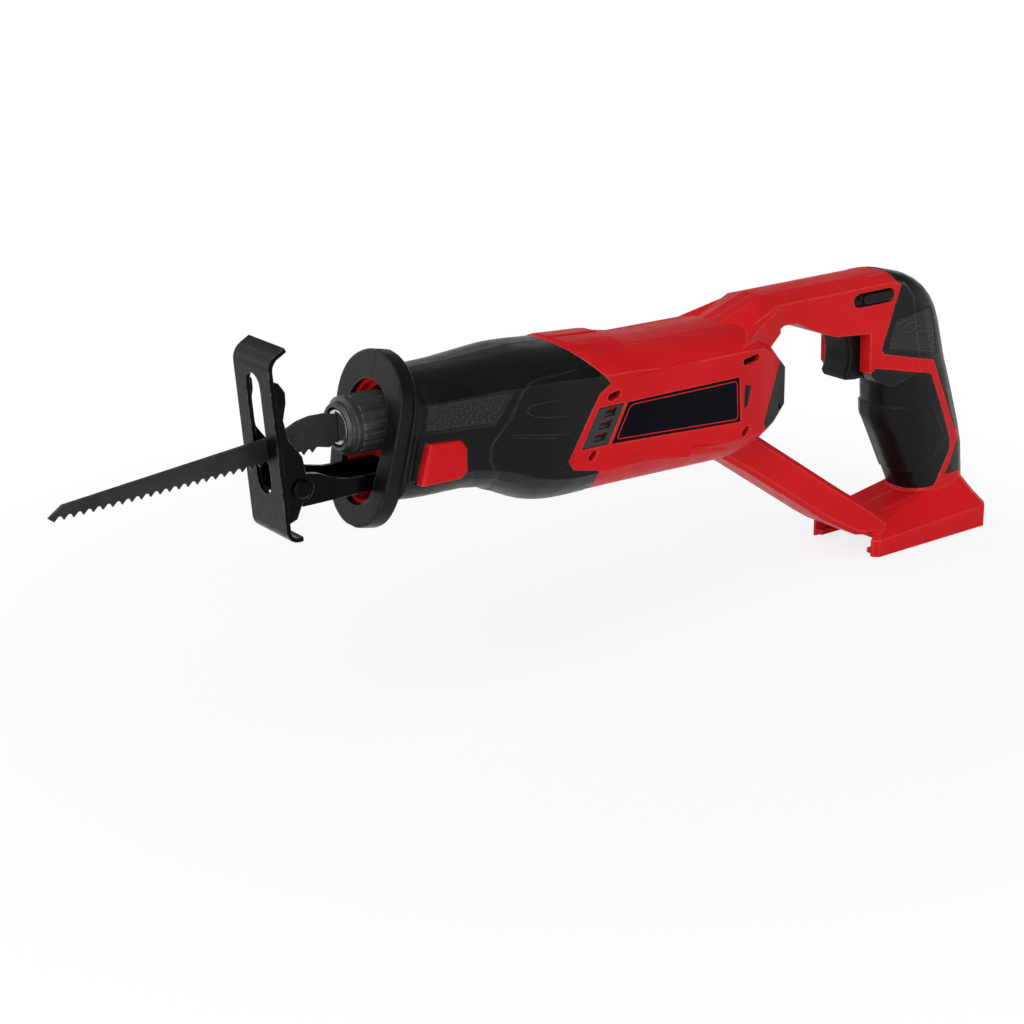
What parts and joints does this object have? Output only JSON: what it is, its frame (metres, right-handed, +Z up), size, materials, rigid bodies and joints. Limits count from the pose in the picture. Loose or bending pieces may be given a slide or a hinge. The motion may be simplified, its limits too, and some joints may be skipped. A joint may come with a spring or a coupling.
{
  "type": "cordless reciprocating saw",
  "caption": "Cordless reciprocating saw with D-handle, crank-driven plunger and blade, keyless chuck, pivoting shoe and a foot that takes a slide-on battery.",
  "frame": {"origin": "middle of the battery seat under the foot", "axes": "-X towards the blade tip, -Y the saw's left side, +Z up when the foot's seat is level"},
  "size_m": [0.52, 0.0654, 0.1647],
  "materials": {
    "red_plastic": "moulded red nylon, satin",
    "black_soft": "soft overmould, matt",
    "black_hard": "moulded black nylon",
    "grey_plastic": "dark grey nylon",
    "black_steel": "black oxide or black paint on steel",
    "steel": "bare steel",
    "cast_aluminium": "die cast",
    "copper": "copper alloy",
    "sintered_bronze": "sintered bronze",
    "carbon": "carbon brush",
    "ferrite": "sintered ferrite magnet"
  },
  "bodies": {
    "housing": {"dust_seal": "black_soft", "front_motor_bearing": "steel", "housing_screw_1": "steel", "housing_screw_2": "steel", "housing_screw_3": "steel", "housing_screw_4": "steel", "housing_screw_5": "steel", "housing_screw_6": "steel", "housing_screw_7": "steel", "label_plate": "black_hard", "left_back_grip": "black_soft", "left_brush": "carbon", "left_front_grip": "black_soft", "left_heel_pad": "black_soft", "left_housing": "red_plastic", "left_magnet": "ferrite", "left_nose_cover": "black_soft", "left_vent_insert": "grey_plastic", "lower_crank_bearing": "steel", "lower_gear_case": "cast_aluminium", "minus_terminal": "copper", "motor_can": "steel", "motor_end_cap": "black_hard", "plunger_bush": "sintered_bronze", "plus_terminal": "copper", "rear_motor_bearing": "steel", "rear_vent_cap": "black_hard", "release_spring": "steel", "right_back_grip": "black_soft", "right_brush": "carbon", "right_front_grip": "black_soft", "right_heel_pad": "black_soft", "right_housing": "red_plastic", "right_magnet": "ferrite", "right_nose_cover": "black_soft", "right_vent_insert": "grey_plastic", "signal_terminal": "copper", "switch_module": "black_hard", "terminal_block": "black_hard", "trigger_spring": "steel", "upper_crank_bearing": "steel", "upper_gear_case": "cast_aluminium"},
    "rotor": {"armature": "steel", "commutator": "copper", "motor_shaft": "steel", "pinion": "steel", "cooling_fan": "black_hard"},
    "crank": {"crank_gear": "steel", "crank_roller": "steel"},
    "stroke": {"plunger": "steel", "chuck_body": "steel", "chuck_clip": "steel", "saw_blade": "black_steel"},
    "sleeve": {"chuck_sleeve": "black_steel"},
    "bracket": {"shoe_bracket": "black_steel", "shoe_pin": "black_steel"},
    "shoe": {"shoe_plate": "black_steel"},
    "trigger": {"trigger": "black_hard"},
    "lock_off": {"lock_off_button": "black_hard"},
    "release": {"release_button": "red_plastic"}
  },
  "joints": [
    {"name": "motor_spin", "type": "hinge", "parent": "housing", "child": "rotor", "pos_m": [-0.2, 0, 0.092], "axis": [-1, 0, 0], "range_deg": [-450, 450]},
    {"name": "crank_spin", "type": "hinge", "parent": "housing", "child": "crank", "pos_m": [-0.256, 0, 0.0963], "axis": [0, 0, 1], "range_deg": [-90.1, 90.1]},
    {"name": "plunger_stroke", "type": "slide", "parent": "housing", "child": "stroke", "axis": [-1, 0, 0], "range_m": [-0.01101, 0.01101]},
    {"name": "chuck_twist", "type": "hinge", "parent": "stroke", "child": "sleeve", "pos_m": [-0.335, 0, 0.1123], "axis": [-1, 0, 0], "range_deg": [0, 45], "stiffness_Nm_per_rad": 0.05, "springref_deg": -11.46},
    {"name": "shoe_slide", "type": "slide", "parent": "housing", "child": "bracket", "axis": [-1, 0, 0], "range_m": [0, 0.015]},
    {"name": "shoe_pivot", "type": "hinge", "parent": "bracket", "child": "shoe", "pos_m": [-0.3713, 0, 0.0943], "axis": [0, 1, 0], "range_deg": [-25, 25]},
    {"name": "trigger_pull", "type": "slide", "parent": "housing", "child": "trigger", "axis": [1, 0, 0], "range_m": [0, 0.006], "stiffness_N_per_m": 400, "springref_m": -0.005, "deforming": ["trigger_spring"]},
    {"name": "lock_off_push", "type": "slide", "parent": "housing", "child": "lock_off", "axis": [0, 1, 0], "range_m": [-0.0025, 0.0025], "stiffness_N_per_m": 300},
    {"name": "release_press", "type": "slide", "parent": "housing", "child": "release", "axis": [0, 1, 0], "range_m": [0, 0.0025], "stiffness_N_per_m": 200, "springref_m": -0.002, "deforming": ["release_spring"]}
  ],
  "couplings": [
    {"joint": "crank_spin", "follows": "motor_spin", "ratio": 0.2},
    {"joint": "plunger_stroke", "follows": "motor_spin", "m_per_rad": 0.0014006}
  ]
}
